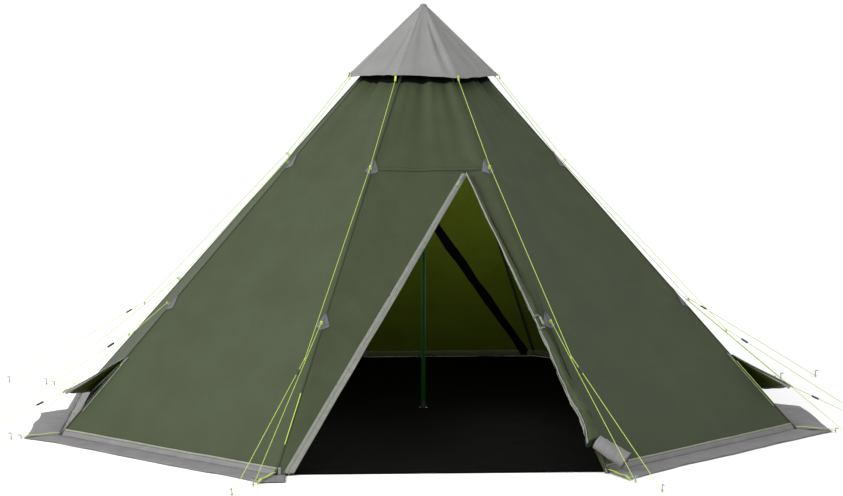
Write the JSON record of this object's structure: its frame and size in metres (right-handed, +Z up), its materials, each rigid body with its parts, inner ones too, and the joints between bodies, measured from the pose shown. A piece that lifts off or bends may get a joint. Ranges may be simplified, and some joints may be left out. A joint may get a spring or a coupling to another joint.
{
  "type": "teepee tent",
  "caption": "Eight-sided single-pole tent with a raised cap, ground skirt, a rolled front door, a closed back door, two low side vents and pegged guy lines.",
  "frame": {"origin": "on the ground under the centre pole", "axes": "+Z up the pole, -Y towards the open front door, +X to the right when facing the tent from the front with the door towards the viewer"},
  "size_m": [5.4204, 5.4204, 2.5003],
  "materials": {
    "tent_cloth": "coated plain-weave polyester, dark green, low sheen",
    "cap_cloth": "coated polyester, mid grey, low sheen",
    "skirt_cloth": "coated polyester, light grey, matt",
    "binding_tape": "grey grosgrain binding and webbing",
    "insect_mesh": "black fine knitted mesh",
    "zip_tape": "light grey woven zip tape",
    "storm_cloth": "black coated cloth",
    "zip_metal": "small cast slider with a lime cord pull",
    "pole_enamel": "green gloss enamel on steel tube",
    "pole_plastic": "black moulded nylon",
    "groundsheet_cloth": "black polyethylene-coated cloth",
    "seam_tape": "folded and double-stitched green cloth",
    "patch_cloth": "grey reinforcement cloth",
    "lime_webbing": "lime green woven webbing",
    "guy_cord": "lime green braided cord",
    "runner_plastic": "black moulded nylon",
    "peg_steel": "zinc-plated steel wire"
  },
  "bodies": {
    "tent": {"back_door": "tent_cloth", "back_wall": "tent_cloth", "cap": "cap_cloth", "cap_binding": "binding_tape", "corner_walls": "tent_cloth", "door_roll": "tent_cloth", "door_ties": "lime_webbing", "door_zips": "zip_tape", "front_wall": "tent_cloth", "ground_skirt": "skirt_cloth", "groundsheet": "groundsheet_cloth", "guy_loops": "lime_webbing", "guy_patches": "patch_cloth", "junction_ties": "guy_cord", "lower_guy_back_left": "guy_cord", "lower_guy_back_right": "guy_cord", "lower_guy_front_left": "guy_cord", "lower_guy_front_right": "guy_cord", "lower_guy_left_back": "guy_cord", "lower_guy_left_front": "guy_cord", "lower_guy_right_back": "guy_cord", "lower_guy_right_front": "guy_cord", "pegs": "peg_steel", "pole_end_caps": "pole_plastic", "pole_lower": "pole_enamel", "pole_middle": "pole_enamel", "pole_upper": "pole_enamel", "seam_tapes": "seam_tape", "side_walls": "tent_cloth", "storm_flap": "storm_cloth", "throat_mesh": "insect_mesh", "upper_guy_back_left": "guy_cord", "upper_guy_back_right": "guy_cord", "upper_guy_front_left": "guy_cord", "upper_guy_front_right": "guy_cord", "upper_guy_left_back": "guy_cord", "upper_guy_left_front": "guy_cord", "upper_guy_right_back": "guy_cord", "upper_guy_right_front": "guy_cord", "vent_guy_left": "guy_cord", "vent_guy_right": "guy_cord", "vent_screens": "insect_mesh", "vent_sills": "skirt_cloth", "vent_zips": "zip_tape"},
    "front_slider": {"front_zip_slider": "zip_metal"},
    "back_slider": {"back_zip_slider": "zip_metal"},
    "right_vent_slider_body": {"right_vent_slider": "zip_metal"},
    "left_vent_slider_body": {"left_vent_slider": "zip_metal"},
    "right_vent": {"right_vent_flap": "tent_cloth"},
    "left_vent": {"left_vent_flap": "tent_cloth"},
    "right_vent_line_runner": {"vent_runner_right": "runner_plastic"},
    "left_vent_line_runner": {"vent_runner_left": "runner_plastic"},
    "front_right_line_runner": {"runner_front_right": "runner_plastic"},
    "right_front_line_runner": {"runner_right_front": "runner_plastic"},
    "right_back_line_runner": {"runner_right_back": "runner_plastic"},
    "back_right_line_runner": {"runner_back_right": "runner_plastic"},
    "back_left_line_runner": {"runner_back_left": "runner_plastic"},
    "left_back_line_runner": {"runner_left_back": "runner_plastic"},
    "left_front_line_runner": {"runner_left_front": "runner_plastic"},
    "front_left_line_runner": {"runner_front_left": "runner_plastic"}
  },
  "joints": [
    {"name": "front_zip_slide", "type": "slide", "parent": "tent", "child": "front_slider", "axis": [-0.4585, -0.5832, -0.6706], "range_m": [0, 2.1]},
    {"name": "back_zip_slide", "type": "slide", "parent": "tent", "child": "back_slider", "axis": [-0.4585, -0.5832, 0.6706], "range_m": [0, 2.06]},
    {"name": "right_vent_zip_slide", "type": "slide", "parent": "tent", "child": "right_vent_slider_body", "axis": [0.6333, -0.2623, -0.7281], "range_m": [0, 0.36]},
    {"name": "left_vent_zip_slide", "type": "slide", "parent": "tent", "child": "left_vent_slider_body", "axis": [-0.6333, -0.2623, -0.7281], "range_m": [0, 0.36]},
    {"name": "right_vent_fold", "type": "hinge", "parent": "tent", "child": "right_vent", "pos_m": [1.78731, -0.74033, 0.44], "axis": [-0.3659, -0.8301, 0.4207], "range_deg": [-22, 0]},
    {"name": "left_vent_fold", "type": "hinge", "parent": "tent", "child": "left_vent", "pos_m": [-1.78731, -0.74033, 0.44], "axis": [-0.3659, 0.8301, -0.4207], "range_deg": [-22, 0]},
    {"name": "front_right_runner_slide", "type": "slide", "parent": "tent", "child": "front_right_line_runner", "axis": [0.3314, -0.8, -0.5003], "range_m": [-0.08, 0.95]},
    {"name": "right_front_runner_slide", "type": "slide", "parent": "tent", "child": "right_front_line_runner", "axis": [0.8, -0.3314, -0.5003], "range_m": [-0.08, 0.95]},
    {"name": "right_back_runner_slide", "type": "slide", "parent": "tent", "child": "right_back_line_runner", "axis": [0.8, 0.3314, -0.5003], "range_m": [-0.08, 0.95]},
    {"name": "back_right_runner_slide", "type": "slide", "parent": "tent", "child": "back_right_line_runner", "axis": [0.3314, 0.8, -0.5003], "range_m": [-0.08, 0.95]},
    {"name": "back_left_runner_slide", "type": "slide", "parent": "tent", "child": "back_left_line_runner", "axis": [-0.3314, 0.8, -0.5003], "range_m": [-0.08, 0.95]},
    {"name": "left_back_runner_slide", "type": "slide", "parent": "tent", "child": "left_back_line_runner", "axis": [-0.8, 0.3314, -0.5003], "range_m": [-0.08, 0.95]},
    {"name": "left_front_runner_slide", "type": "slide", "parent": "tent", "child": "left_front_line_runner", "axis": [-0.8, -0.3314, -0.5003], "range_m": [-0.08, 0.95]},
    {"name": "front_left_runner_slide", "type": "slide", "parent": "tent", "child": "front_left_line_runner", "axis": [-0.3314, -0.8, -0.5003], "range_m": [-0.08, 0.95]},
    {"name": "right_vent_runner_slide", "type": "slide", "parent": "tent", "child": "right_vent_line_runner", "axis": [0.8719, -0.2882, -0.3958], "range_m": [-0.1, 0.38]},
    {"name": "left_vent_runner_slide", "type": "slide", "parent": "tent", "child": "left_vent_line_runner", "axis": [-0.8719, -0.2882, -0.3958], "range_m": [-0.1, 0.38]}
  ]
}
